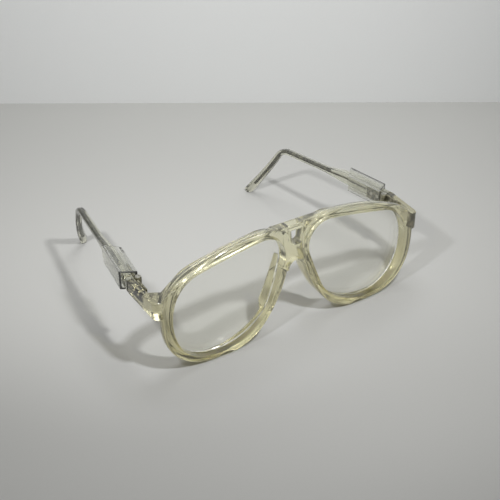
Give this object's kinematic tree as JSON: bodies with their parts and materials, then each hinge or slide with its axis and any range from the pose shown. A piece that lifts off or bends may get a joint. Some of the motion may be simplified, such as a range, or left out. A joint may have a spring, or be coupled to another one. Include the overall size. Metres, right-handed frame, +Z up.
{
  "type": "aviator eyeglasses",
  "caption": "Aviator eyeglasses with a clear plastic front, folding clear temples on screw hinges, and a clear rectangular sleeve that slides on each temple.",
  "frame": {"origin": "on the ground, below the middle of the glasses' box, where the rims and the temple tips stand at z = 0", "axes": "+X towards the wearer's left side, +Y from the front towards the temple tips, +Z up"},
  "size_m": [0.1506, 0.1284, 0.0562],
  "materials": {
    "front_plastic": "polished, clear, yellowed with age",
    "temple_plastic": "polished, clear, faintly grey",
    "sleeve_plastic": "clear, neutral grey, a little dull",
    "lens": "clear, polished",
    "hinge_metal": "dark, tarnished",
    "rivet_metal": "dull nickel",
    "screw_metal": "nickel plated",
    "core_metal": "drawn wire, dark"
  },
  "bodies": {
    "front": {"front_frame": "front_plastic", "left_lens": "lens", "left_front_leaf": "hinge_metal", "left_front_rivets": "rivet_metal", "right_lens": "lens", "right_front_leaf": "hinge_metal", "right_front_rivets": "rivet_metal"},
    "left_temple": {"left_temple": "temple_plastic", "left_core_wire": "core_metal", "left_temple_leaf": "hinge_metal", "left_temple_rivets": "rivet_metal", "left_hinge_screw": "screw_metal", "left_hinge_nut": "screw_metal"},
    "left_sleeve": {"left_sleeve": "sleeve_plastic"},
    "right_temple": {"right_temple": "temple_plastic", "right_core_wire": "core_metal", "right_temple_leaf": "hinge_metal", "right_temple_rivets": "rivet_metal", "right_hinge_screw": "screw_metal", "right_hinge_nut": "screw_metal"},
    "right_sleeve": {"right_sleeve": "sleeve_plastic"}
  },
  "joints": [
    {"name": "left_fold", "type": "hinge", "parent": "front", "child": "left_temple", "pos_m": [0.06895, -0.04065, 0.0372], "axis": [0, 0, 1], "range_deg": [0, 86]},
    {"name": "left_sleeve_slide", "type": "slide", "parent": "left_temple", "child": "left_sleeve", "axis": [-0.1253, 0.9921, 0], "range_m": [0, 0.02]},
    {"name": "right_fold", "type": "hinge", "parent": "front", "child": "right_temple", "pos_m": [-0.06895, -0.04065, 0.0372], "axis": [0, 0, -1], "range_deg": [0, 76]},
    {"name": "right_sleeve_slide", "type": "slide", "parent": "right_temple", "child": "right_sleeve", "axis": [0.1253, 0.9921, 0], "range_m": [0, 0.02]}
  ]
}
